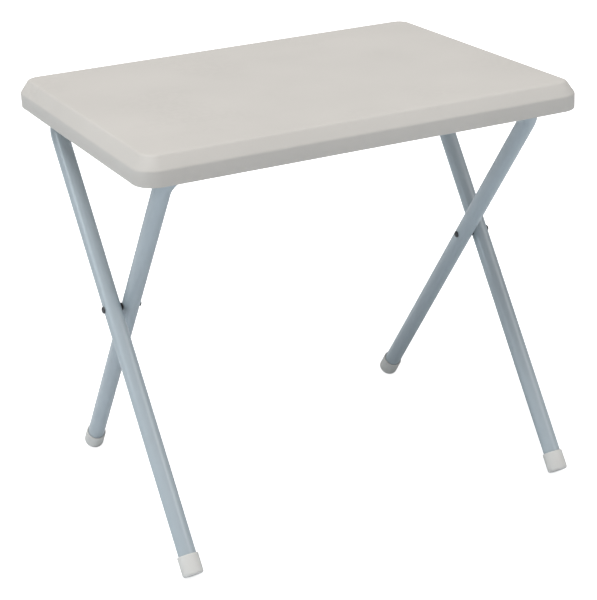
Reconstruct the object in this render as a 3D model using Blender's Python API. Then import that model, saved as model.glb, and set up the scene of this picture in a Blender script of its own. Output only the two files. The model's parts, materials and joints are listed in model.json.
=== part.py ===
"""Folding tray table: a ribbed plastic top carried by two crossing U-shaped tube frames.

Metres, +Z up, +X along the long side, -Y at the front. The origin is on the floor, under the
middle of the bounding box. The inner frame's cross bar turns in two closed hinges near the
front edge. The outer frame's cross bar sits in two open clips near the back edge, and the
frames turn on each other at a rivet on each side.
"""

import math

import bmesh
import bpy
from mathutils import Vector

MM = 0.001
GAP = 0.3 * MM  # between two pieces that touch

# Top: a shell with a vertical skirt, a sloping border and a flat middle
TOP_LENGTH = 570 * MM
TOP_WIDTH = 424 * MM
TOP_Z = 518.5 * MM
TOP_Y = 5.3 * MM  # middle of the top, which puts the bounding box round the origin
SKIRT_BOTTOM = 484.3 * MM
BORDER_RUN = 11 * MM
BORDER_DROP = 15.6 * MM
SHELL = 3 * MM
CORNER_RADIUS = 27 * MM
CORNER_STEPS = 8
LOWER_CREASE_RADIUS = 5 * MM
UPPER_CREASE_RADIUS = 4.5 * MM
RIM_RADIUS = 1.2 * MM
FILLET_STEPS = 3
RIB_BOTTOM = 507 * MM
POCKET_CEILING = 515 * MM
RIB_THICKNESS = 2.6 * MM
LATTICE_HALF_X = 266 * MM
LATTICE_HALF_Y = 193 * MM
LATTICE_COLUMNS = 11
LATTICE_ROWS = 8
POCKET_CORNER = 2.5 * MM
POCKET_DRAFT = 0.4 * MM
SMALLEST_POCKET = 7 * MM

# Tube frames
TUBE_RADIUS = 11 * MM
TUBE_WALL = 1.2 * MM
BEND_RADIUS = 42 * MM
BEND_STEPS = 8
TUBE_SEGMENTS = 24
BAR_Z = 495 * MM
OUTER_X = 260.6 * MM  # at the rivets
INNER_X = 237.0 * MM
OUTER_BAR_Y = TOP_Y + 138.5 * MM
INNER_BAR_Y = TOP_Y - 181 * MM
OUTER_SLOPE = math.radians(54.25)  # of the legs, from the floor
INNER_SLOPE = math.radians(53.03)
OUTER_TOE_IN = math.radians(0.60)  # the legs of each frame draw together towards the floor
INNER_TOE_IN = math.radians(0.95)

# Foot caps
CAP_RADIUS = 13 * MM
CAP_LENGTH = 25 * MM
CAP_FLOOR = 4.5 * MM
CAP_ROUNDING = 3 * MM
CAP_ROUNDING_STEPS = 3
CAP_LIP = 0.8 * MM

# Pivot rivets and the washers between the tubes
RIVET_RADIUS = 3 * MM
RIVET_HEAD_RADIUS = 4.4 * MM
RIVET_HEAD_HEIGHT = 2.5 * MM
DOME_STEPS = 3
RIVET_HOLE_RADIUS = 3.2 * MM
SPACER_RADIUS = 5 * MM
ROUND_SEGMENTS = 24

# Hinges for the inner bar, clips for the outer bar
FIXING_X = LATTICE_HALF_X * 6 / LATTICE_COLUMNS
FIXING_HALF_LENGTH = 12.5 * MM
BORE_RADIUS = 11.45 * MM
BORE_STEPS = 12
BLOCK_HALF_WIDTH = 13.75 * MM
BLOCK_REACH = 24 * MM
BLOCK_TOP = POCKET_CEILING - GAP
FLANGE_TOP = RIB_BOTTOM - GAP
STRAP_THICKNESS = 1.5 * MM
CLIP_FRONT = 14.2 * MM
CLIP_REACH = 28 * MM
CLIP_FLANGE = 2.7 * MM
CLIP_BACK = 13 * MM
CLIP_LIP_THICKNESS = 2.6 * MM
CLIP_LIP_REACH = 5.5 * MM
CLIP_EXIT = math.radians(14.5)  # direction in which the bar leaves, below the horizontal
BLOCK_BEVEL = 0.5 * MM
STRAP_BEVEL = 0.25 * MM

# Screws
SCREW_RADIUS = 1.9 * MM
SCREW_HOLE_RADIUS = 2.2 * MM
SCREW_HEAD_RADIUS = 3.4 * MM
SCREW_HEAD_HEIGHT = 2.3 * MM
SCREW_TIP_Z = 514.2 * MM
SCREW_HOLE_TOP = 514.8 * MM
HINGE_SCREW_Y = 19.2 * MM
CLIP_SCREW_X = 7.5 * MM
CLIP_SCREW_Y = 21.5 * MM
RECESS_RADIUS = 1.3 * MM
RECESS_DEPTH = 1.1 * MM
SCREW_SEGMENTS = 12

SHARP_ANGLE = math.radians(32)
SIDES = (("left", -1), ("right", 1))


def clear_scene():
    for obj in list(bpy.data.objects):
        bpy.data.objects.remove(obj, do_unlink=True)


def plastic(name, colour, roughness, metallic=0.0):
    material = bpy.data.materials.new(name)
    material.use_nodes = True
    shader = material.node_tree.nodes["Principled BSDF"]
    shader.inputs["Base Color"].default_value = (*colour, 1.0)
    shader.inputs["Roughness"].default_value = roughness
    shader.inputs["Metallic"].default_value = metallic
    return material


def add_object(name, bm, origin=(0.0, 0.0, 0.0), look=None):
    """Turns the mesh into an object whose origin is at the given point, without moving it."""
    bmesh.ops.translate(bm, verts=bm.verts, vec=-Vector(origin))
    bmesh.ops.recalc_face_normals(bm, faces=bm.faces)
    mesh = bpy.data.meshes.new(name)
    bm.to_mesh(mesh)
    bm.free()
    mesh.polygons.foreach_set("use_smooth", [True] * len(mesh.polygons))
    mesh.set_sharp_from_angle(angle=SHARP_ANGLE)
    obj = bpy.data.objects.new(name, mesh)
    obj.location = origin
    bpy.context.scene.collection.objects.link(obj)
    if look:
        mesh.materials.append(plastic(name, *look))
    return obj


def add_cutter(name, bm):
    cutter = add_object(name, bm)
    cutter.hide_render = True
    cutter.display_type = "WIRE"
    return cutter


def cut(obj, cutter):
    modifier = obj.modifiers.new(cutter.name, "BOOLEAN")
    modifier.operation = "DIFFERENCE"
    modifier.solver = "EXACT"
    modifier.object = cutter


def round_edges(obj, width):
    modifier = obj.modifiers.new("rounded edges", "BEVEL")
    modifier.width = width
    modifier.segments = 1
    modifier.limit_method = "ANGLE"
    modifier.angle_limit = math.radians(50)


def loft(bm, rings, joined=False):
    """Skins a run of rings with quads. It caps the two ends, or joins the last ring to the first."""
    loops = [[bm.verts.new(point) for point in ring] for ring in rings]
    pairs = list(zip(loops, loops[1:]))
    if joined:
        pairs.append((loops[-1], loops[0]))
    else:
        bm.faces.new(loops[0])
        bm.faces.new(loops[-1])
    for low, high in pairs:
        for i in range(len(low)):
            j = (i + 1) % len(low)
            bm.faces.new((low[i], low[j], high[j], high[i]))


def circle(centre, radius, across, up, segments):
    turns = [2 * math.pi * i / segments for i in range(segments)]
    return [centre + radius * (math.cos(a) * across + math.sin(a) * up) for a in turns]


def turned(bm, profile, start, along, segments=ROUND_SEGMENTS):
    """A solid of revolution from (distance along the axis, radius) pairs."""
    across = Vector((0, 0, 1)).cross(along)
    if across.length < 0.1:
        across = Vector((1, 0, 0))
    across = across.normalized()
    up = across.cross(along)
    rings = [circle(start + d * along, r, across, up, segments) for d, r in profile]
    loft(bm, rings)


def extruded(bm, outline, x_low, x_high):
    """A prism along X over an outline of (y, z) points."""
    loft(bm, [[Vector((x, y, z)) for y, z in outline] for x in (x_low, x_high)])


def fillet(before, corner, after, radius, steps=FILLET_STEPS):
    """Points of an arc that rounds the corner between two straight lines."""
    to_before = (Vector(before) - Vector(corner)).normalized()
    to_after = (Vector(after) - Vector(corner)).normalized()
    half = to_before.angle(to_after) / 2
    middle = (to_before + to_after).normalized()
    centre = Vector(corner) + middle * radius / math.sin(half)
    first = Vector(corner) + to_before * radius / math.tan(half) - centre
    last = Vector(corner) + to_after * radius / math.tan(half) - centre
    sweep = first.angle_signed(last)
    turned_by = [-sweep * i / steps for i in range(steps + 1)]
    return [
        (
            centre.x + math.cos(a) * first.x - math.sin(a) * first.y,
            centre.y + math.sin(a) * first.x + math.cos(a) * first.y,
        )
        for a in turned_by
    ]


def rounded_rectangle(half_x, half_y, radius, z, steps=CORNER_STEPS, middle_y=TOP_Y):
    points = []
    for quarter, (sx, sy) in enumerate(((1, 1), (-1, 1), (-1, -1), (1, -1))):
        cx, cy = sx * (half_x - radius), middle_y + sy * (half_y - radius)
        for i in range(steps + 1):
            a = math.pi / 2 * (quarter + i / steps)
            points.append(Vector((cx + radius * math.cos(a), cy + radius * math.sin(a), z)))
    return points


def table_top_mesh():
    """The shell, as rings from the middle of the upper face, over the rim and in under the ribs."""
    shoulder = TOP_Z - BORDER_DROP
    slope = math.atan2(BORDER_DROP, BORDER_RUN)
    outside = [(BORDER_RUN, TOP_Z), (0.0, shoulder), (0.0, SKIRT_BOTTOM)]
    profile = fillet((2 * BORDER_RUN, TOP_Z), outside[0], outside[1], UPPER_CREASE_RADIUS)
    profile += fillet(outside[0], outside[1], outside[2], LOWER_CREASE_RADIUS)
    profile += fillet(outside[1], outside[2], (SHELL, SKIRT_BOTTOM), RIM_RADIUS)
    profile += fillet((0.0, SKIRT_BOTTOM), (SHELL, SKIRT_BOTTOM), (SHELL, TOP_Z), RIM_RADIUS)
    inner_shoulder = shoulder - SHELL * math.tan((math.pi / 2 - slope) / 2)
    profile.append((SHELL, inner_shoulder))
    ledge = SHELL + (RIB_BOTTOM - inner_shoulder) / math.tan(slope)
    profile.append((ledge, RIB_BOTTOM))
    rings = []
    for inset, z in profile:
        half_x, half_y = TOP_LENGTH / 2 - inset, TOP_WIDTH / 2 - inset
        rings.append(rounded_rectangle(half_x, half_y, CORNER_RADIUS - inset, z))
    bm = bmesh.new()
    loft(bm, rings)
    return bm


def pocket(bm, x_low, x_high, y_low, y_high, corner=POCKET_CORNER, draft=POCKET_DRAFT):
    """One cutter between ribs, narrowing a little towards its ceiling."""
    half_x, half_y = (x_high - x_low) / 2, (y_high - y_low) / 2
    middle_x, middle_y = (x_low + x_high) / 2, (y_low + y_high) / 2
    rings = []
    for z, inset in ((RIB_BOTTOM - GAP, 0.0), (POCKET_CEILING, draft)):
        ring = rounded_rectangle(half_x - inset, half_y - inset, corner, z, 1, middle_y)
        rings.append([point + Vector((middle_x, 0, 0)) for point in ring])
    loft(bm, rings)


def free_spans(low, high, kept):
    """What is left of a span once the kept zones are taken out."""
    spans = [(low, high)]
    for zone_low, zone_high in kept:
        before = [(a, min(b, zone_low)) for a, b in spans]
        after = [(max(a, zone_high), b) for a, b in spans]
        spans = [(a, b) for a, b in before + after if b - a > SMALLEST_POCKET]
    return spans


def rib_cutter_mesh():
    """Pockets that leave a lattice of ribs, solid bosses for the screws and a seat for each fixing."""
    bosses = [
        (INNER_BAR_Y - BLOCK_REACH - 2 * MM, INNER_BAR_Y + BLOCK_REACH + 2 * MM),
        (OUTER_BAR_Y - CLIP_REACH, OUTER_BAR_Y + CLIP_BACK + 1.5 * MM),
    ]
    half = RIB_THICKNESS / 2
    pitch_x = 2 * LATTICE_HALF_X / LATTICE_COLUMNS
    pitch_y = 2 * LATTICE_HALF_Y / LATTICE_ROWS
    bm = bmesh.new()
    for column in range(LATTICE_COLUMNS):
        x_low = -LATTICE_HALF_X + column * pitch_x
        has_fixing = abs(abs(x_low + pitch_x / 2) - FIXING_X) < pitch_x / 2
        for row in range(LATTICE_ROWS):
            y_low = TOP_Y - LATTICE_HALF_Y + row * pitch_y
            kept = bosses if has_fixing else []
            for a, b in free_spans(y_low + half, y_low + pitch_y - half, kept):
                pocket(bm, x_low + half, x_low + pitch_x - half, a, b)
    seat = FIXING_HALF_LENGTH + GAP
    for x in (-FIXING_X, FIXING_X):
        for middle, front, back in (
            (INNER_BAR_Y, BLOCK_HALF_WIDTH, BLOCK_HALF_WIDTH),
            (OUTER_BAR_Y, CLIP_FRONT, CLIP_BACK),
        ):
            ends = (middle - front - GAP, middle + back + GAP)
            pocket(bm, x - seat, x + seat, *ends, corner=GAP, draft=0.0)
    return bm


def pivot_point():
    """Where the two leg lines cross, seen along X."""
    run = OUTER_BAR_Y - INNER_BAR_Y
    drop = run / (1 / math.tan(OUTER_SLOPE) + 1 / math.tan(INNER_SLOPE))
    return Vector((0.0, OUTER_BAR_Y - drop / math.tan(OUTER_SLOPE), BAR_Z - drop))


def cap_profile():
    """(distance from the flat end, radius) pairs of a foot cap, outside first and then its bore."""
    steps = [math.pi / 2 * i / CAP_ROUNDING_STEPS for i in range(CAP_ROUNDING_STEPS + 1)]
    core = CAP_RADIUS - CAP_ROUNDING
    outside = [
        (CAP_ROUNDING * (1 - math.sin(a)), core + CAP_ROUNDING * math.cos(a)) for a in reversed(steps)
    ]
    bore = TUBE_RADIUS + GAP
    return [
        *outside,
        (CAP_LENGTH - CAP_LIP, CAP_RADIUS),
        (CAP_LENGTH, CAP_RADIUS - CAP_LIP),
        (CAP_LENGTH, bore),
        (CAP_FLOOR, bore),
    ]


def foot_point(bar_y, slope, lean):
    """End of a leg's centre line, where the lowest point of its cap meets the floor."""
    low = min(d * math.sin(slope) - r * math.cos(slope) for d, r in cap_profile())
    z = -low
    return Vector((0.0, bar_y + lean * (BAR_Z - z) / math.tan(slope), z))


def leg_ends(half_x, toe_in, bar_y, slope, lean):
    """Half the frame's width at the feet and at the bar, and the length between the two."""
    foot = foot_point(bar_y, slope, lean)
    corner = Vector((0.0, bar_y, BAR_Z))
    to_foot = (pivot_point() - foot).length
    to_bar = (corner - pivot_point()).length
    spread = math.tan(toe_in)
    return half_x - to_foot * spread, half_x + to_bar * spread, to_foot + to_bar


def frame_path(foot_x, bar_x, length):
    """(point, direction) pairs along a frame's centre line, in its own plane, from foot to foot."""
    leg = Vector((bar_x - foot_x, length)).normalized()
    inward = Vector((-leg.y, leg.x))
    turn = math.pi / 2 + math.atan2(leg.x, leg.y)
    bend_start = Vector((bar_x, length)) - leg * BEND_RADIUS * math.tan(turn / 2)
    centre = bend_start + inward * BEND_RADIUS
    right = [(Vector((foot_x, 0.0)) + leg * (CAP_FLOOR + GAP), leg)]
    for i in range(BEND_STEPS + 1):
        a = turn * i / BEND_STEPS
        point = centre + BEND_RADIUS * (leg * math.sin(a) - inward * math.cos(a))
        right.append((point, leg * math.cos(a) + inward * math.sin(a)))
    left = [(Vector((-p.x, p.y)), Vector((d.x, -d.y))) for p, d in reversed(right)]
    return right + left


def frame_mesh(half_x, toe_in, bar_y, slope, lean):
    """A hollow tube from foot to foot, bent twice at the cross bar."""
    foot = foot_point(bar_y, slope, lean)
    side = Vector((1, 0, 0))
    up = (Vector((0.0, bar_y, BAR_Z)) - foot).normalized()
    normal = side.cross(up)
    path = frame_path(*leg_ends(half_x, toe_in, bar_y, slope, lean))
    rings = []
    for radius, order in ((TUBE_RADIUS, 1), (TUBE_RADIUS - TUBE_WALL, -1)):
        for point, direction in path[::order]:
            across = up * direction.x - side * direction.y
            centre = foot + side * point.x + up * point.y
            rings.append(circle(centre, radius, across, normal, TUBE_SEGMENTS))
    bm = bmesh.new()
    loft(bm, rings, joined=True)
    return bm


def arc(radius, first, last, steps=BORE_STEPS):
    return [
        (radius * math.cos(a), radius * math.sin(a))
        for a in (first + (last - first) * i / steps for i in range(steps + 1))
    ]


def shifted(outline, middle_y):
    return [(middle_y + y, BAR_Z + z) for y, z in outline]


def hinge_block_outline():
    """Upper half of a hinge: a saddle over the bar that rises into its seat in the top."""
    split = GAP / 2
    flange, top = FLANGE_TOP - BAR_Z, BLOCK_TOP - BAR_Z
    low = math.asin(split / BORE_RADIUS)
    return [
        (BLOCK_REACH, split),
        (BLOCK_REACH, flange),
        (BLOCK_HALF_WIDTH, flange),
        (BLOCK_HALF_WIDTH, top),
        (-BLOCK_HALF_WIDTH, top),
        (-BLOCK_HALF_WIDTH, flange),
        (-BLOCK_REACH, flange),
        (-BLOCK_REACH, split),
        *arc(BORE_RADIUS, math.pi - low, low),
    ]


def hinge_strap_outline():
    """Lower half of a hinge: a steel strap bent round the bar, with an ear at each side."""
    top, bottom = -GAP / 2, -GAP / 2 - STRAP_THICKNESS
    outer = BORE_RADIUS + STRAP_THICKNESS
    inner_low = math.asin(-top / BORE_RADIUS)
    outer_low = math.asin(-bottom / outer)
    return [
        (BLOCK_REACH, bottom),
        (BLOCK_REACH, top),
        *arc(BORE_RADIUS, -inner_low, -math.pi + inner_low),
        (-BLOCK_REACH, top),
        (-BLOCK_REACH, bottom),
        *arc(outer, -math.pi + outer_low, -outer_low),
    ]


def clip_outline():
    """A hook round the front of the bar, open towards the back and a little downwards."""
    flange, top = FLANGE_TOP - BAR_Z, BLOCK_TOP - BAR_Z
    exit_line = Vector((math.cos(CLIP_EXIT), -math.sin(CLIP_EXIT)))
    below = Vector((-math.sin(CLIP_EXIT), -math.cos(CLIP_EXIT)))
    last_angle = 1.5 * math.pi - CLIP_EXIT
    lip_in = below * BORE_RADIUS + exit_line * CLIP_LIP_REACH
    lip_out = lip_in + below * CLIP_LIP_THICKNESS
    outer = BORE_RADIUS + CLIP_LIP_THICKNESS
    return [
        (CLIP_BACK, BORE_RADIUS),
        (CLIP_BACK, top),
        (-CLIP_FRONT, top),
        (-CLIP_FRONT, flange),
        (-CLIP_REACH + GAP, flange),
        (-CLIP_REACH + GAP, flange - CLIP_FLANGE),
        (-CLIP_FRONT - 2 * MM, flange - CLIP_FLANGE),
        *arc(outer, math.pi, last_angle, BORE_STEPS // 2),
        tuple(lip_out),
        tuple(lip_in),
        *arc(BORE_RADIUS, last_angle, math.pi / 2),
    ]


def screw_mesh(x, y, seat_z):
    """A pan-head screw pointing up, with its head under seat_z and a round recess in the head."""
    head = seat_z - GAP - SCREW_HEAD_HEIGHT
    up = Vector((0, 0, 1))
    tip = SCREW_TIP_Z - head
    profile = [
        (RECESS_DEPTH, RECESS_RADIUS * 0.7),
        (0.0, RECESS_RADIUS),
        (0.0, SCREW_HEAD_RADIUS * 0.6),
        (SCREW_HEAD_HEIGHT * 0.3, SCREW_HEAD_RADIUS * 0.9),
        (SCREW_HEAD_HEIGHT * 0.65, SCREW_HEAD_RADIUS),
        (SCREW_HEAD_HEIGHT, SCREW_HEAD_RADIUS),
        (SCREW_HEAD_HEIGHT, SCREW_RADIUS),
        (tip - 2 * SCREW_RADIUS, SCREW_RADIUS),
        (tip, SCREW_RADIUS * 0.3),
    ]
    bm = bmesh.new()
    turned(bm, profile, Vector((x, y, head)), up, SCREW_SEGMENTS)
    return bm


def rivet_mesh(side):
    """A shank across both tubes, with a domed head outside the outer and inside the inner one."""
    turns = [math.pi / 2 * (i + 0.5) / DOME_STEPS for i in range(DOME_STEPS)]
    dome = [(RIVET_HEAD_HEIGHT * math.cos(a), RIVET_HEAD_RADIUS * math.sin(a)) for a in turns]
    dome.append((0.0, RIVET_HEAD_RADIUS))
    low = INNER_X - TUBE_RADIUS - GAP
    high = OUTER_X + TUBE_RADIUS + GAP
    first = [(low - d, r) for d, r in dome]
    last = [(high + d, r) for d, r in reversed(dome)]
    profile = [*first, (low, RIVET_RADIUS), (high, RIVET_RADIUS), *last]
    bm = bmesh.new()
    turned(bm, profile, pivot_point(), Vector((side, 0, 0)))
    return bm


def spacer_mesh(side):
    """A flat washer between the two tubes, round the rivet."""
    low, high = INNER_X + TUBE_RADIUS + GAP, OUTER_X - TUBE_RADIUS - GAP
    across, up = Vector((0, 1, 0)), Vector((0, 0, 1))
    bore = RIVET_HOLE_RADIUS
    corners = ((low, SPACER_RADIUS), (high, SPACER_RADIUS), (high, bore), (low, bore))
    centre = pivot_point()
    rings = [
        circle(centre + Vector((side * x, 0, 0)), r, across, up, ROUND_SEGMENTS) for x, r in corners
    ]
    bm = bmesh.new()
    loft(bm, rings, joined=True)
    return bm


def cap_mesh(sign, half_x, toe_in, bar_y, slope, lean):
    foot = foot_point(bar_y, slope, lean)
    foot_x, bar_x, length = leg_ends(half_x, toe_in, bar_y, slope, lean)
    top = Vector((sign * bar_x, bar_y, BAR_Z))
    start = foot + Vector((sign * foot_x, 0, 0))
    bm = bmesh.new()
    turned(bm, cap_profile(), start, (top - start).normalized(), TUBE_SEGMENTS)
    return bm


def screw_places():
    """(name, x, y, height of the face under which the head sits) of every screw."""
    strap_bottom = BAR_Z - GAP / 2 - STRAP_THICKNESS
    places = []
    for side, sign in SIDES:
        x = sign * FIXING_X
        for end, dy in (("front", -HINGE_SCREW_Y), ("back", HINGE_SCREW_Y)):
            places.append((f"hinge_screw_{side}_{end}", x, INNER_BAR_Y + dy, strap_bottom))
        for n, dx in (("a", -CLIP_SCREW_X), ("b", CLIP_SCREW_X)):
            y = OUTER_BAR_Y - CLIP_SCREW_Y
            places.append((f"clip_screw_{side}_{n}", x + dx, y, FLANGE_TOP - CLIP_FLANGE))
    return places


def screw_holes_mesh():
    bm = bmesh.new()
    depth = SCREW_HOLE_TOP - SKIRT_BOTTOM
    for _, x, y, _ in screw_places():
        start = Vector((x, y, SKIRT_BOTTOM))
        profile = [(0.0, SCREW_HOLE_RADIUS), (depth, SCREW_HOLE_RADIUS)]
        turned(bm, profile, start, Vector((0, 0, 1)), SCREW_SEGMENTS)
    return bm


def rivet_holes_mesh():
    bm = bmesh.new()
    profile = [(end * TOP_LENGTH / 2, RIVET_HOLE_RADIUS) for end in (-1, 1)]
    turned(bm, profile, pivot_point(), Vector((1, 0, 0)))
    return bm


WHITE_PLASTIC = ((0.64, 0.62, 0.59), 0.5)
PAINTED_TUBE = ((0.50, 0.53, 0.56), 0.35)
CAP_PLASTIC = ((0.74, 0.73, 0.70), 0.45)
FIXING_PLASTIC = ((0.55, 0.55, 0.54), 0.5)
DARK_METAL = ((0.03, 0.03, 0.035), 0.4, 0.4)
DARK_PLASTIC = ((0.02, 0.02, 0.022), 0.6)
STEEL = ((0.62, 0.62, 0.63), 0.3, 1.0)


def build():
    clear_scene()
    pivot = pivot_point()
    hinge_line = Vector((0.0, INNER_BAR_Y, BAR_Z))

    top = add_object("table_top", table_top_mesh(), (0.0, TOP_Y, TOP_Z), WHITE_PLASTIC)
    cut(top, add_cutter("cutter_pockets", rib_cutter_mesh()))

    screw_cutter = add_cutter("cutter_screw_holes", screw_holes_mesh())
    cut(top, screw_cutter)

    for side, sign in SIDES:
        x = sign * FIXING_X
        low, high = x - FIXING_HALF_LENGTH, x + FIXING_HALF_LENGTH
        for name, outline, middle_y, look in (
            (f"hinge_block_{side}", hinge_block_outline(), INNER_BAR_Y, FIXING_PLASTIC),
            (f"hinge_strap_{side}", hinge_strap_outline(), INNER_BAR_Y, STEEL),
            (f"snap_clip_{side}", clip_outline(), OUTER_BAR_Y, FIXING_PLASTIC),
        ):
            bm = bmesh.new()
            extruded(bm, shifted(outline, middle_y), low, high)
            fixing = add_object(name, bm, (x, middle_y, BAR_Z), look)
            round_edges(fixing, BLOCK_BEVEL if look is FIXING_PLASTIC else STRAP_BEVEL)
            cut(fixing, screw_cutter)
    for name, x, y, seat_z in screw_places():
        add_object(name, screw_mesh(x, y, seat_z), (x, y, seat_z), STEEL)

    rivet_cutter = add_cutter("cutter_rivet_holes", rivet_holes_mesh())
    outer_shape = (OUTER_X, OUTER_TOE_IN, OUTER_BAR_Y, OUTER_SLOPE, -1)
    inner_shape = (INNER_X, INNER_TOE_IN, INNER_BAR_Y, INNER_SLOPE, 1)
    for name, shape, origin, feet in (
        ("outer_frame", outer_shape, pivot, "front"),
        ("inner_frame", inner_shape, hinge_line, "rear"),
    ):
        frame = add_object(name, frame_mesh(*shape), origin, PAINTED_TUBE)
        cut(frame, rivet_cutter)
        for side, sign in SIDES:
            cap = cap_mesh(sign, *shape)
            add_object(f"foot_cap_{feet}_{side}", cap, origin, CAP_PLASTIC)
    for side, sign in SIDES:
        add_object(f"pivot_rivet_{side}", rivet_mesh(sign), hinge_line, DARK_METAL)
        add_object(f"spacer_washer_{side}", spacer_mesh(sign), hinge_line, DARK_PLASTIC)


build()
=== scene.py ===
# %% [markdown]
# # A small folding tray table
#
# The table has a moulded plastic top on two U-shaped steel tubes that cross at a rivet on each
# side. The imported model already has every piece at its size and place. This lesson rebuilds each
# piece as a finer surface, worked out as numpy arrays, and gives it a finish with real detail.
#
# All lengths are in metres. +X runs along the table, -Y is its front and +Z is up.

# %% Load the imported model
import json
import math

import bmesh
import bpy
import numpy as np
from mathutils import Matrix, Vector


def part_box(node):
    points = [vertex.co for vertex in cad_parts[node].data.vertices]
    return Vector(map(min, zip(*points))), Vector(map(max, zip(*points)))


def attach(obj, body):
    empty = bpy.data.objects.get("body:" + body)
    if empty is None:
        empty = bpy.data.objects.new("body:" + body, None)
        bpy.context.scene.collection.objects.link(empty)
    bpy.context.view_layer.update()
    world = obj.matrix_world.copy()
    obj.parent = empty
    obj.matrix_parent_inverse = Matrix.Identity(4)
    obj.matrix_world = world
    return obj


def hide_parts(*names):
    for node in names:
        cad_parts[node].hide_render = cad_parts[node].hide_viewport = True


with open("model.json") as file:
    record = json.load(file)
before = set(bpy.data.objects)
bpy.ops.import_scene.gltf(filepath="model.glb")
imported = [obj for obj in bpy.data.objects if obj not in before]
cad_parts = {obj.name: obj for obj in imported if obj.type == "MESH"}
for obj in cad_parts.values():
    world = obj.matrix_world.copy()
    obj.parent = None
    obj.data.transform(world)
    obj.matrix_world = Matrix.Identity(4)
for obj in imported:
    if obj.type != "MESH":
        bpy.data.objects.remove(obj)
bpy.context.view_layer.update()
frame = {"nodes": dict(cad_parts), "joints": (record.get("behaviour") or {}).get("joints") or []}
joints = {joint["name"]: joint for joint in frame["joints"]}
print("nodes:", len(frame["nodes"]))

# %% [markdown]
# ## From arrays to a mesh
#
# Nearly every piece of the table is a run of closed rings: a tube is rings carried along a path,
# a cap is rings turned round an axis, and the top is rounded rectangles stacked from the middle
# of its face round the rim. One helper can therefore skin them all. A ring whose points all lie in
# one place closes an end as a pole, and merging equal points afterwards welds the seams.

# %% Skins for rings and grids
MM = 0.001
MERGE = 1e-6
SIDES = (("left", -1), ("right", 1))


def ring_faces(rings, points, joined=False):
    """Quads between neighbouring rings, numbered ring by ring; joined ties the last to the first."""
    ring = np.arange(rings if joined else rings - 1)[:, None]
    point = np.arange(points)[None, :]
    after, beside = (ring + 1) % rings, (point + 1) % points
    here, there = ring * points, after * points
    corners = (here + point, here + beside, there + beside, there + point)
    return np.stack(np.broadcast_arrays(*corners), axis=-1).reshape(-1, 4)


def grid_faces(rows, columns, turned_over=False):
    """Quads of a flat grid numbered row by row."""
    row, column = np.arange(rows - 1)[:, None], np.arange(columns - 1)[None, :]
    first = row * columns + column
    quads = np.stack([first, first + 1, first + columns + 1, first + columns], axis=-1).reshape(-1, 4)
    return quads[:, ::-1] if turned_over else quads


def build_piece(name, parts, sharp_degrees=35.0):
    """Joins (points, faces) parts into one welded, outward-facing object with its place in its mesh."""
    points = np.concatenate([part[0].reshape(-1, 3) for part in parts])
    starts = np.cumsum([0] + [part[0].reshape(-1, 3).shape[0] for part in parts[:-1]])
    faces = [face for start, part in zip(starts, parts) for face in (part[1] + start).tolist()]
    mesh = bpy.data.meshes.new(name)
    mesh.from_pydata(points.tolist(), [], faces)
    bm = bmesh.new()
    bm.from_mesh(mesh)
    bmesh.ops.remove_doubles(bm, verts=bm.verts, dist=MERGE)
    bmesh.ops.dissolve_degenerate(bm, dist=MERGE, edges=bm.edges)
    bmesh.ops.recalc_face_normals(bm, faces=bm.faces)
    bm.to_mesh(mesh)
    bm.free()
    mesh.shade_smooth()
    mesh.set_sharp_from_angle(angle=math.radians(sharp_degrees))
    piece = bpy.data.objects.new(name, mesh)
    bpy.context.scene.collection.objects.link(piece)
    return piece


def unit(vector):
    """The vector divided by its length."""
    return np.asarray(vector, float) / np.linalg.norm(vector)


# %% [markdown]
# ## Rounded outlines
#
# A moulded edge is never sharp. Each outline here starts as a few straight lines, and every
# corner is then replaced by an arc that touches both of its lines. Drawing the arcs with a
# formula keeps the outline down to the few points that give its shape.

# %% Outlines with rounded corners


def arc_corner(before, corner, after, radius, steps):
    """Arc that touches both lines of a corner.

    Its centre is on the corner's bisector, radius / sin(half the corner's angle) away.
    """
    to_before, to_after = unit(np.subtract(before, corner)), unit(np.subtract(after, corner))
    half = 0.5 * math.acos(np.clip(to_before @ to_after, -1, 1))
    centre = np.asarray(corner, float) + unit(to_before + to_after) * radius / math.sin(half)
    first = np.asarray(corner, float) + to_before * radius / math.tan(half) - centre
    last = np.asarray(corner, float) + to_after * radius / math.tan(half) - centre
    sweep = math.pi - 2 * half
    t = np.linspace(0, 1, steps + 1)[:, None]
    return centre + (first * np.sin((1 - t) * sweep) + last * np.sin(t * sweep)) / math.sin(sweep)


def rounded_profile(corners, steps=6):
    """An open outline from (x, y, radius) corners; a radius of 0 keeps a corner sharp."""
    points = [np.array([corners[0][:2]], float)]
    for before, corner, after in zip(corners, corners[1:], corners[2:]):
        if corner[2] > 0:
            points.append(arc_corner(before[:2], corner[:2], after[:2], corner[2], steps))
        else:
            points.append(np.array([corner[:2]], float))
    points.append(np.array([corners[-1][:2]], float))
    return np.concatenate(points)


def turned_rings(profile, start, along, segments):
    """Rings of a turned piece: centre = start + distance * along, circle = radius * (cos a, sin a)."""
    along = unit(along)
    across = unit(np.cross([0.0, 0.0, 1.0], along) if abs(along[2]) < 0.9 else [1.0, 0.0, 0.0])
    up = np.cross(across, along)
    a = np.linspace(0, 2 * math.pi, segments, endpoint=False)
    spokes = np.cos(a)[:, None] * across + np.sin(a)[:, None] * up
    profile = np.asarray(profile, float)
    return np.asarray(start) + profile[:, 0, None, None] * along + profile[:, 1, None, None] * spokes


def turned_part(profile, start, along, segments, joined=False):
    """Rings and quads of a turned piece; joined closes an outline that doesn't reach the axis."""
    rings = turned_rings(profile, start, along, segments)
    return rings, ring_faces(len(rings), segments, joined)


# %% [markdown]
# ## Where things are
#
# Two points say where the frames are: the line of the front hinges, and the rivets. Both come
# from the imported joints. Each leg is a straight line from its cross bar through the rivet to the
# floor, so its slope and its foot follow from those two points.

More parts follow.
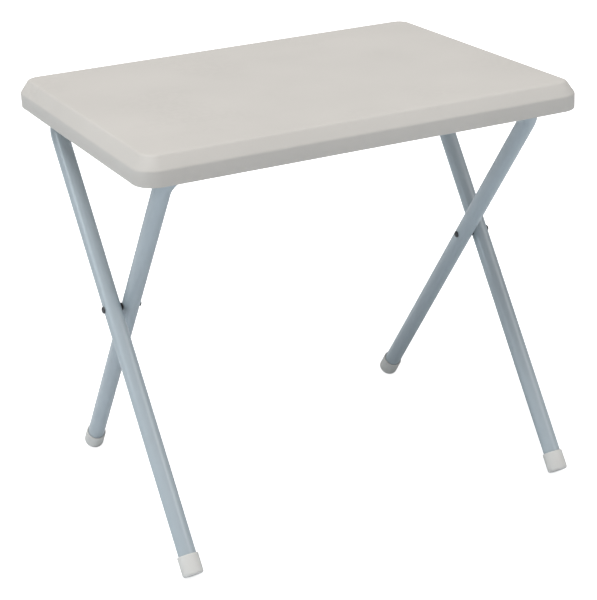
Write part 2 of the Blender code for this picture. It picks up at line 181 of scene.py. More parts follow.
# %% Places taken from the frame
top_low, top_high = (np.array(corner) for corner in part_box("table_top"))
TOP_Y = 0.5 * (top_low[1] + top_high[1])
TOP_LENGTH, TOP_WIDTH = top_high[0] - top_low[0], top_high[1] - top_low[1]
TOP_Z, SKIRT_BOTTOM = top_high[2], top_low[2]

HINGE_LINE = np.array(joints["frame_hinge"]["pos_m"])
PIVOT = np.array(joints["scissor"]["pos_m"])
BAR_DISTANCE = 319.5 * MM
INNER_BAR = HINGE_LINE
OUTER_BAR = HINGE_LINE + [0.0, BAR_DISTANCE, 0.0]

print("top:", round(TOP_LENGTH, 4), "by", round(TOP_WIDTH, 4), "at", round(TOP_Z, 4))
print("rivets:", PIVOT.round(4), "bars:", INNER_BAR.round(4), OUTER_BAR.round(4))

# %% [markdown]
# ## The top's outline
#
# The top is one injection moulding. Its flat middle ends in a soft crease, a border slopes down
# to a second crease, and a skirt hides the fittings. Stacked rounded rectangles follow that
# outline all the way round. The corners are concentric, so the border is as wide round a corner
# as along a side.
#
# Every rectangle takes its points from the lines of the rib lattice underneath, so that the rings
# can be welded to the lattice. The skin isn't closed everywhere. The left side takes the lines in
# mirror order, so there some edges only lie on each other. The hinge seats reach 3 mm past the
# lattice, so each is open at its front end, where the hinge block passes through the skin.

# %% Lines shared by the shell and the ribs
SHELL = 3 * MM
BORDER_RUN = 11 * MM
BORDER_DROP = 15.6 * MM
CREASE_RADIUS = 5.5 * MM
RIM_RADIUS = 1.3 * MM
INNER_FILLET = 2 * MM
LEDGE_FILLET = 1 * MM
FACE_EDGE = 6 * MM  # from the upper crease to where the rings start on the face
CORNER_RADIUS = 27 * MM
CORNER_POINTS = 15
RIB_BOTTOM = 507 * MM
POCKET_CEILING = 515 * MM
RIB_THICKNESS = 2.6 * MM
LATTICE_HALF = np.array([266 * MM, 193 * MM])
LATTICE_CELLS = (11, 8)
WALL_LINES = np.array([0.0, 0.35, 0.9, 1.8, 3.2]) * MM

FIXING_X = LATTICE_HALF[0] * 6 / LATTICE_CELLS[0]
FIXING_HALF = 12.5 * MM
SEAT_ROOM = 1.2 * MM
BLOCK_HALF_WIDTH = 13.75 * MM
BLOCK_REACH = 24 * MM
CLIP_FRONT = 14.2 * MM
CLIP_BACK = 13 * MM
CLIP_REACH = 27.7 * MM
BLOCK_MARGIN = 2 * MM
CLIP_MARGIN = 1.5 * MM
SMALLEST_POCKET = 7 * MM

bosses = [
    (INNER_BAR[1] - BLOCK_REACH - BLOCK_MARGIN, INNER_BAR[1] + BLOCK_REACH + BLOCK_MARGIN),
    (OUTER_BAR[1] - CLIP_REACH, OUTER_BAR[1] + CLIP_BACK + CLIP_MARGIN),
]


def free_spans(low, high, kept):
    """What is left of a span once the kept zones are taken out."""
    spans = [(low, high)]
    for zone_low, zone_high in kept:
        parts = [(a, min(b, zone_low)) for a, b in spans] + [(max(a, zone_high), b) for a, b in spans]
        spans = [(a, b) for a, b in parts if b - a > SMALLEST_POCKET]
    return spans


def cell_spans(half, cells, middle):
    """The clear span of each cell along one direction, between two ribs."""
    edges = middle + np.linspace(-half, half, cells + 1)
    return list(zip(edges[:-1] + RIB_THICKNESS / 2, edges[1:] - RIB_THICKNESS / 2))


def holds_fitting(span):
    """Whether a column of cells has a hinge and a clip in it."""
    return any(span[0] < x < span[1] for x in (-FIXING_X, FIXING_X))


columns = cell_spans(LATTICE_HALF[0], LATTICE_CELLS[0], 0.0)
rows = cell_spans(LATTICE_HALF[1], LATTICE_CELLS[1], TOP_Y)
pockets = [
    (x_span, y_span)
    for x_span in columns
    for row in rows
    for y_span in free_spans(*row, bosses if holds_fitting(x_span) else [])
]
seat_depths = [
    (INNER_BAR[1] - BLOCK_HALF_WIDTH - SEAT_ROOM, INNER_BAR[1] + BLOCK_HALF_WIDTH + SEAT_ROOM),
    (OUTER_BAR[1] - CLIP_FRONT - SEAT_ROOM, OUTER_BAR[1] + CLIP_BACK + SEAT_ROOM),
]
seats = [
    ((x - FIXING_HALF - SEAT_ROOM, x + FIXING_HALF + SEAT_ROOM), depth)
    for x in (-FIXING_X, FIXING_X)
    for depth in seat_depths
]


def shared_lines(spans, low, high):
    """Sorted lines at every wall of every span, close together where a wall curves into its ceiling."""
    walls = [np.concatenate([a + WALL_LINES, b - WALL_LINES, [(a + b) / 2]]) for a, b in spans]
    lines = np.unique(np.concatenate(walls + [np.array([low, high])]).round(6))
    return lines[(lines >= low - MERGE) & (lines <= high + MERGE)]


lines_x = shared_lines({p[0] for p in pockets + seats}, -LATTICE_HALF[0], LATTICE_HALF[0])
lines_y = shared_lines({p[1] for p in pockets + seats}, TOP_Y - LATTICE_HALF[1], TOP_Y + LATTICE_HALF[1])
print("pockets:", len(pockets), "lines:", len(lines_x), "by", len(lines_y))

# %% Stacked rounded rectangles


def rectangle_rings(inset, corner_radius, z):
    """Rounded rectangles: straight sides keep the shared lines' spacing, corners are quarter circles.

    A side point is its line's share of the lattice's half length, times the side's own half length.
    """
    inset, corner_radius, z = (np.asarray(v, float)[:, None] for v in (inset, corner_radius, z))
    half_x = TOP_LENGTH / 2 - inset
    half_y = TOP_WIDTH / 2 - inset
    flat_x, flat_y = half_x - corner_radius, half_y - corner_radius
    share_x = (lines_x / LATTICE_HALF[0])[None, :]
    share_y = ((lines_y - TOP_Y) / LATTICE_HALF[1])[None, :]
    quarter = np.linspace(0, math.pi / 2, CORNER_POINTS + 2)[None, 1:-1]
    xs, ys = [], []
    for turn, share, half, flat in ((0, share_y, half_x, flat_y), (1, share_x, half_y, flat_x),
                                    (2, share_y, half_x, flat_y), (3, share_x, half_y, flat_x)):
        c, s = round(math.cos(turn * math.pi / 2)), round(math.sin(turn * math.pi / 2))
        out, along = half + 0 * share, flat * share
        xs.append(c * out - s * along)
        ys.append(s * out + c * along)
        a = quarter + turn * math.pi / 2
        sign_x, sign_y = (1, -1, -1, 1)[turn], (1, 1, -1, -1)[turn]
        xs.append(sign_x * flat_x + corner_radius * np.cos(a))
        ys.append(sign_y * flat_y + corner_radius * np.sin(a))
    x, y = np.concatenate(xs, axis=1), np.concatenate(ys, axis=1) + TOP_Y
    return np.stack([x, y, np.broadcast_to(z, x.shape)], axis=-1)


shoulder = TOP_Z - BORDER_DROP
slope = math.atan2(BORDER_DROP, BORDER_RUN)
inner_shoulder = shoulder - SHELL * math.tan((math.pi / 2 - slope) / 2)
ledge = SHELL + (RIB_BOTTOM - inner_shoulder) / math.tan(slope)
EDGE_FLAT = np.array([TOP_LENGTH, TOP_WIDTH]).min() / 2 - LATTICE_HALF[1]
profile = rounded_profile(
    [
        (EDGE_FLAT, TOP_Z, 0.0),
        (BORDER_RUN + FACE_EDGE, TOP_Z, 0.0),
        (BORDER_RUN, TOP_Z, CREASE_RADIUS),
        (0.0, shoulder, CREASE_RADIUS),
        (0.0, SKIRT_BOTTOM, RIM_RADIUS),
        (SHELL, SKIRT_BOTTOM, RIM_RADIUS),
        (SHELL, inner_shoulder, INNER_FILLET),
        (ledge, RIB_BOTTOM, LEDGE_FILLET),
        (EDGE_FLAT, RIB_BOTTOM, 0.0),
    ],
    steps=8,
)
print("outline points:", len(profile))

# %% [markdown]
# ## The ribs under the top
#
# Under the face, thin ribs stiffen the plastic without making it thick. They could be cut with
# boolean boxes, but a height over a grid is simpler: each pocket is a rounded box, the distance
# to its wall says how far the ceiling has risen, and the highest pocket wins. The grid has close
# lines only near the walls, where the surface bends.

# %% The lattice as a height over a grid
POCKET_CORNER = 2.5 * MM
WALL_REACH = 3.2 * MM
WALL_POWER = 6
SEAT_POWER = 14


def pocket_rise(x, y, span_x, span_y, power):
    """Share of the full depth: 1 - (1 - d / reach) ** power, d being the distance in from the wall."""
    middle = np.array([sum(span_x), sum(span_y)]) / 2
    half = np.array([span_x[1] - span_x[0], span_y[1] - span_y[0]]) / 2
    over_x = np.abs(x - middle[0]) - half[0] + POCKET_CORNER
    over_y = np.abs(y - middle[1]) - half[1] + POCKET_CORNER
    outside = np.hypot(np.maximum(over_x, 0), np.maximum(over_y, 0))
    inside = np.minimum(np.maximum(over_x, over_y), 0)
    depth = np.clip(POCKET_CORNER - outside - inside, 0, WALL_REACH) / WALL_REACH
    return 1 - (1 - depth) ** power


grid_x, grid_y = np.meshgrid(lines_x, lines_y)
rise = np.zeros_like(grid_x)
for spans, power in [(p, WALL_POWER) for p in pockets] + [(s, SEAT_POWER) for s in seats]:
    rise = np.maximum(rise, pocket_rise(grid_x, grid_y, *spans, power))
ceiling = RIB_BOTTOM + rise * (POCKET_CEILING - RIB_BOTTOM)
lattice = np.stack([grid_x, grid_y, ceiling], axis=-1)
flat_middle = np.stack([grid_x, grid_y, np.full_like(grid_x, TOP_Z)], axis=-1)

# Past the crease the corners tighten to nothing, so that the rings meet the square lattice.
crease_end = profile[1:-1, 0][profile[1:-1, 1] > TOP_Z - MERGE].min()
closing = (EDGE_FLAT - profile[:, 0]) / (EDGE_FLAT - crease_end)
corner_radii = np.minimum(CORNER_RADIUS - profile[:, 0], (CORNER_RADIUS - crease_end) * closing)
shell_rings = rectangle_rings(profile[:, 0], corner_radii, profile[:, 1])

top_shell = build_piece(
    "top_shell",
    [
        (shell_rings, ring_faces(*shell_rings.shape[:2])),
        (flat_middle, grid_faces(*flat_middle.shape[:2])),
        (lattice, grid_faces(*lattice.shape[:2], turned_over=True)),
    ],
)
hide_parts("table_top")
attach(top_shell, "top")
print("top faces:", len(top_shell.data.polygons))

# %% [markdown]
# ## The two tube frames
#
# Each frame is one length of steel tube bent twice on a mandrel. A curve object with a bevel
# would do, but the ends must stay open and the wall must show its thickness, so the tube is
# swept here: circles stand square to a path of straight legs, two quarter bends and a bar, first
# at the outer radius and then back at the inner one. The legs lean in a little towards the floor,
# so each bend turns slightly more than a right angle.

# %% Foot caps and leg lines
TUBE_RADIUS = 11 * MM
TUBE_WALL = 1.2 * MM
BEND_RADIUS = 42 * MM
CAP_RADIUS = 13 * MM
CAP_LENGTH = 25 * MM
CAP_FLOOR = 4.5 * MM
CAP_ROUNDING = 3 * MM
CAP_LIP = 0.8 * MM
GAP = 0.3 * MM


def lift(slope_angle):
    """Height of a cap's end centre when its rounded edge just meets the floor.

    The edge's arc is centred CAP_ROUNDING up the axis and CAP_RADIUS - CAP_ROUNDING out from it.
    """
    core = CAP_RADIUS - CAP_ROUNDING
    return CAP_ROUNDING + core * math.cos(slope_angle) - CAP_ROUNDING * math.sin(slope_angle)


class Leg:
    """One side's leg line of a frame, from its foot to the level of its cross bar."""

    def __init__(self, bar, pivot_x, toe_in):
        self.bar = bar
        self.up = unit(bar - PIVOT)
        self.slope = math.asin(self.up[2])
        self.foot = PIVOT - self.up * (PIVOT[2] - lift(self.slope)) / self.up[2]
        spread = math.tan(toe_in)
        self.foot_x = pivot_x - np.linalg.norm(PIVOT - self.foot) * spread
        self.bar_x = pivot_x + np.linalg.norm(bar - PIVOT) * spread
        self.length = np.linalg.norm(bar - self.foot)

    def line(self, sign):
        """(foot, unit direction) of the leg on one side."""
        start = self.foot + [sign * self.foot_x, 0.0, 0.0]
        end = self.bar + [sign * self.bar_x, 0.0, 0.0]
        return start, unit(end - start)


OUTER_X, INNER_X = 260.6 * MM, 237.0 * MM
legs = {
    "outer": Leg(OUTER_BAR, OUTER_X, math.radians(0.60)),
    "inner": Leg(INNER_BAR, INNER_X, math.radians(0.95)),
}
for name, leg in legs.items():
    print(name, "leg slope", round(math.degrees(leg.slope), 2), "foot", leg.foot.round(4), leg.foot_x)

# %% Tubes swept along their path
TUBE_SEGMENTS = 64
BEND_STEPS = 24
LEG_STEPS = 24
TUBE_SHARP_DEGREES = 50


def frame_path(leg):
    """(points, directions) in the frame's own plane: leg, quarter bend, bar, quarter bend, leg."""
    along = unit([leg.bar_x - leg.foot_x, leg.length])
    inward = np.array([-along[1], along[0]])
    turn = math.pi / 2 + math.atan2(along[0], along[1])
    corner = np.array([leg.bar_x, leg.length])
    bend_start = corner - along * BEND_RADIUS * math.tan(turn / 2)
    centre = bend_start + inward * BEND_RADIUS
    first = np.array([leg.foot_x, 0.0]) + along * (CAP_FLOOR + GAP)
    t = np.linspace(0, 1, LEG_STEPS, endpoint=False)[:, None]
    a = np.linspace(0, turn, BEND_STEPS + 1)[:, None]
    points = np.concatenate([
        first + (bend_start - first) * t,
        centre + BEND_RADIUS * (along * np.sin(a) - inward * np.cos(a)),
    ])
    turning = along * np.cos(a) + inward * np.sin(a)
    directions = np.concatenate([np.repeat(along[None], LEG_STEPS, axis=0), turning])
    mirrored = points[::-1] * [-1, 1], directions[::-1] * [1, -1]
    return np.concatenate([points, mirrored[0]]), np.concatenate([directions, mirrored[1]])


def tube_rings(leg, radius):
    """Circles square to the path: centre + radius * (cos a * across + sin a * normal)."""
    points, directions = frame_path(leg)
    side, up = np.array([1.0, 0.0, 0.0]), leg.up
    normal = np.cross(side, up)
    centres = leg.foot + points[:, :1] * side + points[:, 1:] * up
    across = directions[:, :1] * up - directions[:, 1:] * side
    a = np.linspace(-math.pi, math.pi, TUBE_SEGMENTS, endpoint=False)
    spokes = np.cos(a)[None, :, None] * across[:, None] + np.sin(a)[None, :, None] * normal
    return centres[:, None] + spokes * radius


def frame_piece(name, leg):
    """The outer rings one way and the inner rings back, joined at both open ends."""
    outside = tube_rings(leg, TUBE_RADIUS)
    inside = tube_rings(leg, TUBE_RADIUS - TUBE_WALL)
    rings = np.concatenate([outside, inside[::-1]])
    return build_piece(name, [(rings, ring_faces(*rings.shape[:2], joined=True))], TUBE_SHARP_DEGREES)


tube_pieces = {}
for which, body in (("outer", "outer_legs"), ("inner", "inner_legs")):
    tube = frame_piece(f"{which}_tube", legs[which])
    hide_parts(f"{which}_frame")
    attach(tube, body)
    tube_pieces[which] = tube
    print(tube.name, "faces:", len(tube.data.polygons))

# %% [markdown]
# ## Foot caps
#
# A foot cap is a thick plastic cup pushed on the tube's end. It is a turned piece: its outline
# runs from the middle of the flat end, round the worn edge, up the side, over the lip and down
# the bore to the floor of the cup. The table stands on the rounded edge, not on the flat end.

# %% Turned caps
CAP_MOUTH_ROUNDING = 0.3 * MM
CAP_BORE_ROUNDING = 0.5 * MM
CAP_SEGMENTS = 56
CAP_SHARP_DEGREES = 50

cap_outline = rounded_profile(
    [
        (0.0, 0.0, 0.0),
        (0.0, CAP_RADIUS, CAP_ROUNDING),
        (CAP_LENGTH, CAP_RADIUS, CAP_LIP),
        (CAP_LENGTH, TUBE_RADIUS + GAP, CAP_MOUTH_ROUNDING),
        (CAP_FLOOR, TUBE_RADIUS + GAP, CAP_BORE_ROUNDING),
        (CAP_FLOOR, 0.0, 0.0),
    ],
    steps=7,
)
cap_pieces = []
for which, end, body in (("outer", "front", "outer_legs"), ("inner", "rear", "inner_legs")):
    for side, sign in SIDES:
        cup = turned_part(cap_outline, *legs[which].line(sign), CAP_SEGMENTS)
        cap = build_piece(f"cap_{end}_{side}", [cup], CAP_SHARP_DEGREES)
        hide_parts(f"foot_cap_{end}_{side}")
        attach(cap, body)
        cap_pieces.append(cap)
print("caps:", len(cap_pieces))

# %% [markdown]
# ## Rivets and spacers
#
# A rivet is a shank with a domed head at each end, and it holds both tubes together so that they
# can turn. A thin washer keeps the painted tubes from rubbing. Both are turned round the rivet's
# own axis, which runs across the table. The dome is half an ellipse.

# %% Turned rivets and washers
RIVET_RADIUS = 3 * MM
RIVET_HEAD = 4.4 * MM
RIVET_DOME = 2.5 * MM
RIVET_BORE = 3.2 * MM
SPACER_RADIUS = 5 * MM
SPACER_BEVEL = 0.2 * MM
DOME_POINTS = 11
RIVET_SEGMENTS = 40

turn = np.linspace(0, math.pi / 2, DOME_POINTS)
dome = np.stack([RIVET_DOME * np.cos(turn), RIVET_HEAD * np.sin(turn)], axis=1)
rivet_low = INNER_X - TUBE_RADIUS - GAP
rivet_high = OUTER_X + TUBE_RADIUS + GAP
rivet_outline = np.concatenate([
    [rivet_low, 0] + dome * [-1, 1],
    [(rivet_low, RIVET_RADIUS), (rivet_high, RIVET_RADIUS)],
    ([rivet_high, 0] + dome)[::-1],
])
spacer_low, spacer_high = INNER_X + TUBE_RADIUS + GAP, OUTER_X - TUBE_RADIUS - GAP
spacer_outline = np.array([
    (spacer_low, RIVET_BORE),
    (spacer_low, SPACER_RADIUS - SPACER_BEVEL),
    (spacer_low + SPACER_BEVEL, SPACER_RADIUS),
    (spacer_high - SPACER_BEVEL, SPACER_RADIUS),
    (spacer_high, SPACER_RADIUS - SPACER_BEVEL),
    (spacer_high, RIVET_BORE),
])
rivet_pieces, spacer_pieces = [], []
for side, sign in SIDES:
    across = [sign, 0.0, 0.0]
    rivet = build_piece(f"rivet_{side}", [turned_part(rivet_outline, PIVOT, across, RIVET_SEGMENTS)])
    washer = turned_part(spacer_outline, PIVOT, across, RIVET_SEGMENTS, joined=True)
    spacer = build_piece(f"spacer_{side}", [washer])
    for piece, node, slot, group in ((rivet, "pivot_rivet", "rivet_steel", rivet_pieces),
                                     (spacer, "spacer_washer", "washer_plastic", spacer_pieces)):
        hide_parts(f"{node}_{side}")
        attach(piece, "inner_legs")
        group.append(piece)
print("rivets and spacers:", len(rivet_pieces) + len(spacer_pieces))

# %% [markdown]
# ## Hinges and clips
#
# The front bar turns in two hinges: a plastic block above and a steel strap below, closed round
# the tube. The back bar lies in two clips, hooks that are open towards the back so that the bar
# can be pulled out. All three are an outline carried straight across, as an extruded moulding or
# a pressed strip would be, and a bevel takes the sharpness off their edges.

# %% Outlines of the fittings
BORE_RADIUS = 11.45 * MM
BORE_STEPS = 32
BLOCK_TOP = POCKET_CEILING - GAP - HINGE_LINE[2]
FLANGE_TOP = RIB_BOTTOM - GAP - HINGE_LINE[2]
STRAP_THICKNESS = 1.5 * MM
CLIP_FLANGE = 2.7 * MM
CLIP_LIP_THICKNESS = 2.6 * MM
CLIP_LIP_REACH = 5.5 * MM
CLIP_EXIT = math.radians(14.5)
CLIP_SHOULDER = 2 * MM
BEVEL_STEPS = 3
BEVEL_ANGLE = math.radians(50)
FITTING_SHARP_DEGREES = 35


def arc(radius, first, last):
    """Points radius * (cos a, sin a) for a from first to last."""
    a = np.linspace(first, last, BORE_STEPS + 1)
    return radius * np.stack([np.cos(a), np.sin(a)], axis=1)


split = GAP / 2
block_outline = np.concatenate([
    [(BLOCK_REACH, split), (BLOCK_REACH, FLANGE_TOP), (BLOCK_HALF_WIDTH, FLANGE_TOP)],
    [(BLOCK_HALF_WIDTH, BLOCK_TOP), (-BLOCK_HALF_WIDTH, BLOCK_TOP), (-BLOCK_HALF_WIDTH, FLANGE_TOP)],
    [(-BLOCK_REACH, FLANGE_TOP), (-BLOCK_REACH, split)],
    arc(BORE_RADIUS, math.pi - math.asin(split / BORE_RADIUS), math.asin(split / BORE_RADIUS)),
])
strap_low = split + STRAP_THICKNESS
strap_outer = BORE_RADIUS + STRAP_THICKNESS
inner_dip, outer_dip = math.asin(split / BORE_RADIUS), math.asin(strap_low / strap_outer)
strap_outline = np.concatenate([
    [(BLOCK_REACH, -strap_low), (BLOCK_REACH, -split)],
    arc(BORE_RADIUS, -inner_dip, inner_dip - math.pi),
    [(-BLOCK_REACH, -split), (-BLOCK_REACH, -strap_low)],
    arc(strap_outer, outer_dip - math.pi, -outer_dip),
])
exit_way = np.array([math.cos(CLIP_EXIT), -math.sin(CLIP_EXIT)])
below = np.array([-math.sin(CLIP_EXIT), -math.cos(CLIP_EXIT)])
last_angle = 1.5 * math.pi - CLIP_EXIT
lip_in = below * BORE_RADIUS + exit_way * CLIP_LIP_REACH
lip_out = lip_in + below * CLIP_LIP_THICKNESS
clip_outline = np.concatenate([
    [(CLIP_BACK, BORE_RADIUS), (CLIP_BACK, BLOCK_TOP)],
    [(-CLIP_FRONT, BLOCK_TOP), (-CLIP_FRONT, FLANGE_TOP)],
    [(-CLIP_REACH, FLANGE_TOP), (-CLIP_REACH, FLANGE_TOP - CLIP_FLANGE)],
    [(-CLIP_FRONT - CLIP_SHOULDER, FLANGE_TOP - CLIP_FLANGE)],
    arc(BORE_RADIUS + CLIP_LIP_THICKNESS, math.pi, last_angle),
    [lip_out, lip_in],
    arc(BORE_RADIUS, last_angle, math.pi / 2),
])


def carried_across(name, outline, bar, x, bevel):
    """A prism: the outline at two places along X, skinned and closed, with its edges bevelled."""
    ends = np.array([x - FIXING_HALF, x + FIXING_HALF])
    points = np.empty((2, len(outline), 3))
    points[..., 0] = ends[:, None]
    points[..., 1:] = bar[1:] + outline
    piece = build_piece(name, [(points, ring_faces(2, len(outline)))])
    bm = bmesh.new()
    bm.from_mesh(piece.data)
    bmesh.ops.holes_fill(bm, edges=[e for e in bm.edges if e.is_boundary], sides=0)
    bmesh.ops.recalc_face_normals(bm, faces=bm.faces)
    bm.to_mesh(piece.data)
    bm.free()
    rounding = piece.modifiers.new("rounded edges", "BEVEL")
    rounding.width = bevel
    rounding.segments = BEVEL_STEPS
    rounding.limit_method = "ANGLE"
    rounding.angle_limit = BEVEL_ANGLE
    rounding.harden_normals = True
    piece.data.shade_smooth()
    piece.data.set_sharp_from_angle(angle=math.radians(FITTING_SHARP_DEGREES))
    return piece


moulded_fittings, strap_pieces = [], []
for side, sign in SIDES:
    x = sign * FIXING_X
    for name, node, outline, bar, bevel, slot, group in (
        ("block", "hinge_block", block_outline, INNER_BAR, 0.5 * MM, "fixing_plastic", moulded_fittings),
        ("strap", "hinge_strap", strap_outline, INNER_BAR, 0.25 * MM, "zinc_steel", strap_pieces),
        ("clip", "snap_clip", clip_outline, OUTER_BAR, 0.5 * MM, "fixing_plastic", moulded_fittings),
    ):
        piece = carried_across(f"{name}_{side}", outline, bar, x, bevel)
        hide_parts(f"{node}_{side}")
        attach(piece, "top")
        group.append(piece)
print("fittings:", len(moulded_fittings) + len(strap_pieces))

# %% [markdown]
# ## Screws
#
# Pan-head screws hold the fittings. Only the heads show, so the shank is plain, and the cross
# recess is made by pressing the middle of the head in along two directions: the height of the
# head is a function of the distance from the axis, less a cross-shaped dip.

# %% Screws with a cross recess
SCREW_RADIUS = 1.9 * MM
SCREW_HEAD = 3.4 * MM
SCREW_HEAD_HEIGHT = 2.3 * MM
SCREW_TIP_Z = 514.2 * MM
RECESS_REACH = 2.1 * MM
RECESS_HALF_WIDTH = 0.55 * MM
RECESS_DEPTH = 1.2 * MM
RECESS_SIDE = 0.2 * MM
RECESS_END = 0.3 * MM
HINGE_SCREW_Y = 19.2 * MM
CLIP_SCREW_X = 7.5 * MM
CLIP_SCREW_Y = 21.5 * MM
SCREW_POINT = 3 * MM
CROWN_HEIGHT = 0.45 * MM
CROWN_SHARE = 0.9
HEAD_EDGE = [(0.9 * MM, SCREW_HEAD * 0.98), (1.3 * MM, SCREW_HEAD), (SCREW_HEAD_HEIGHT, SCREW_HEAD)]
HEAD_RINGS = 14
SCREW_SEGMENTS = 48
SCREW_SHARP_DEGREES = 30


def smooth_step(t):
    """t * t * (3 - 2 t), with t held between 0 and 1."""
    t = np.clip(t, 0, 1)
    return t * t * (3 - 2 * t)


def screw_part(x, y, seat_z):
    """Head as polar rings with the cross pressed in, then the head's side, the shank and its tip.

    The crown's height is CROWN_HEIGHT * t ** 2.5, and its radius grows evenly with t.
    """
    low = seat_z - GAP - SCREW_HEAD_HEIGHT
    length = SCREW_TIP_Z - low
    t = np.linspace(0, 1, HEAD_RINGS)
    outline = np.concatenate([
        np.stack([CROWN_HEIGHT * t**2.5, SCREW_HEAD * CROWN_SHARE * t], axis=1),
        HEAD_EDGE,
        [(SCREW_HEAD_HEIGHT, SCREW_RADIUS), (length - SCREW_POINT, SCREW_RADIUS), (length, 0.0)],
    ])
    rings = turned_rings(outline, (x, y, low), (0, 0, 1), SCREW_SEGMENTS)
    local = np.abs(rings[:HEAD_RINGS, :, :2] - [x, y])
    near, far = local.min(axis=-1), local.max(axis=-1)
    across = smooth_step((RECESS_HALF_WIDTH - near) / RECESS_SIDE + 0.5)
    along = smooth_step((RECESS_REACH - far) / RECESS_END)
    rings[:HEAD_RINGS, :, 2] += across * along * RECESS_DEPTH
    return rings, ring_faces(len(rings), SCREW_SEGMENTS)


strap_bottom = HINGE_LINE[2] - strap_low
flange_bottom = HINGE_LINE[2] + FLANGE_TOP - CLIP_FLANGE
screw_places = []
for side, sign in SIDES:
    x = sign * FIXING_X
    for end, dy in (("front", -HINGE_SCREW_Y), ("back", HINGE_SCREW_Y)):
        screw_places.append((f"hinge_screw_{side}_{end}", x, INNER_BAR[1] + dy, strap_bottom))
    for letter, dx in (("a", -CLIP_SCREW_X), ("b", CLIP_SCREW_X)):
        y = OUTER_BAR[1] - CLIP_SCREW_Y
        screw_places.append((f"clip_screw_{side}_{letter}", x + dx, y, flange_bottom))
screw_pieces = []
for node, x, y, seat_z in screw_places:
    name = node.replace("screw", "fixing_screw")
    screw = build_piece(name, [screw_part(x, y, seat_z)], SCREW_SHARP_DEGREES)
    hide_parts(node)
    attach(screw, "top")
    screw_pieces.append(screw)
print("screws:", len(screw_pieces))

# %% [markdown]
# ## Where the moulding wears
#
# The creases round the border are what hands, trays and shelves rub. The mesh can say where they
# are: each vertex gets the largest angle between the faces beside it, and the materials read that
# attribute as a mask. It is worked out once here, so the shaders don't need to look for edges.

# %% An edge attribute from the shape
EDGE_LOW, EDGE_HIGH = math.radians(3), math.radians(22)


def mark_edges(piece):
    """edge = smooth_step of the sharpest convex fold at each vertex, from EDGE_LOW to EDGE_HIGH."""
    bm = bmesh.new()
    bm.from_mesh(piece.data)
    fold = np.array([e.calc_face_angle_signed(0.0) for e in bm.edges])
    ends = np.array([[v.index for v in e.verts] for e in bm.edges])
    sharpest = np.zeros(len(bm.verts))
    for column in (0, 1):
        np.maximum.at(sharpest, ends[:, column], fold)
    bm.free()
    edge = piece.data.attributes.new("edge", "FLOAT", "POINT")
    edge.data.foreach_set("value", smooth_step((sharpest - EDGE_LOW) / (EDGE_HIGH - EDGE_LOW)))


turned_pieces = cap_pieces + rivet_pieces + spacer_pieces
fittings = moulded_fittings + strap_pieces + screw_pieces
finished = [top_shell, *tube_pieces.values(), *turned_pieces, *fittings]
for piece in finished:
    mark_edges(piece)
print("marked:", len(finished))

# %% [markdown]
# ## Finishes
#
# Four effects are shared by the materials, so each is a node group with named inputs:
#
# - **Moulded grain** is the fine spark-eroded texture that a mould leaves in plastic: two sizes of
#   noise, as a height for a bump.
# - **Uneven tone** makes a colour drift slowly by a few per cent, as plastic and paint do.
# - **Handling** finds where a surface has been touched: broad soft patches broken up by finer
#   noise. It lowers or raises roughness and darkens slightly.
# - **Edge wear** joins the edge attribute with noise, so that worn edges are broken and not a line.
#
# A group puts out only values. The shader that uses them stays in its own material.

# %% Tools for node trees


def new_group(name, inputs, outputs):
    """An empty node group with float or colour sockets; returns its tree, input node and output node."""
    tree = bpy.data.node_groups.new(name, "ShaderNodeTree")
    for label, kind, value in inputs:
        socket = tree.interface.new_socket(label, in_out="INPUT", socket_type=kind)
        socket.default_value = value
    for label, kind in outputs:
        tree.interface.new_socket(label, in_out="OUTPUT", socket_type=kind)
    return tree, tree.nodes.new("NodeGroupInput"), tree.nodes.new("NodeGroupOutput")


def put(tree, target, value):
    """Sets an input socket to a number or colour, or links it from a socket."""
    if isinstance(value, bpy.types.NodeSocket):
        tree.links.new(value, target)
    else:
        target.default_value = value


def add(tree, kind, inputs=None, **settings):
    """Adds one node; inputs maps socket names or indices to numbers, colours or sockets."""
    node = tree.nodes.new(kind)
    for key, value in settings.items():
        setattr(node, key, value)
    for key, value in (inputs or {}).items():
        put(tree, node.inputs[key], value)
    return node


def noise(tree, place, scale, detail=3.0, roughness=0.55):
    """A noise texture's value, about 0.5 on average."""
    settings = {"Vector": place, "Scale": scale, "Detail": detail, "Roughness": roughness}
    return add(tree, "ShaderNodeTexNoise", settings).outputs["Fac"]


def calc(tree, operation, a, b=0.0, c=0.0):
    """One Math node's value."""
    return add(tree, "ShaderNodeMath", {0: a, 1: b, 2: c}, operation=operation).outputs[0]


def remap(tree, value, low, high, to_low=0.0, to_high=1.0, kind="SMOOTHSTEP"):
    """The range low to high carried to to_low to to_high."""
    sockets = {"Value": value, "From Min": low, "From Max": high, "To Min": to_low, "To Max": to_high}
    return add(tree, "ShaderNodeMapRange", sockets, interpolation_type=kind).outputs["Result"]


def blend_colour(tree, share, a, b):
    """a * (1 - share) + b * share."""
    node = add(tree, "ShaderNodeMix", data_type="RGBA")
    for socket, value in zip((node.inputs[0], node.inputs[6], node.inputs[7]), (share, a, b)):
        put(tree, socket, value)
    return node.outputs[2]


FLOAT, COLOUR, VECTOR = "NodeSocketFloat", "NodeSocketColor", "NodeSocketVector"

# %% Moulded grain
grain_group, source, sink = new_group(
    "Moulded grain",
    [("Place", VECTOR, (0, 0, 0)), ("Size", FLOAT, 1400.0), ("Depth", FLOAT, 1.0)],
    [("Height", FLOAT)],
)
fine = noise(grain_group, source.outputs["Place"], source.outputs["Size"], 2.0)
coarse_size = calc(grain_group, "MULTIPLY", source.outputs["Size"], 0.37)
coarse = noise(grain_group, source.outputs["Place"], coarse_size, 1.0)
height = calc(grain_group, "MULTIPLY_ADD", coarse, 0.6, fine)
put(grain_group, sink.inputs["Height"], calc(grain_group, "MULTIPLY", height, source.outputs["Depth"]))
print(grain_group.name, len(grain_group.nodes))

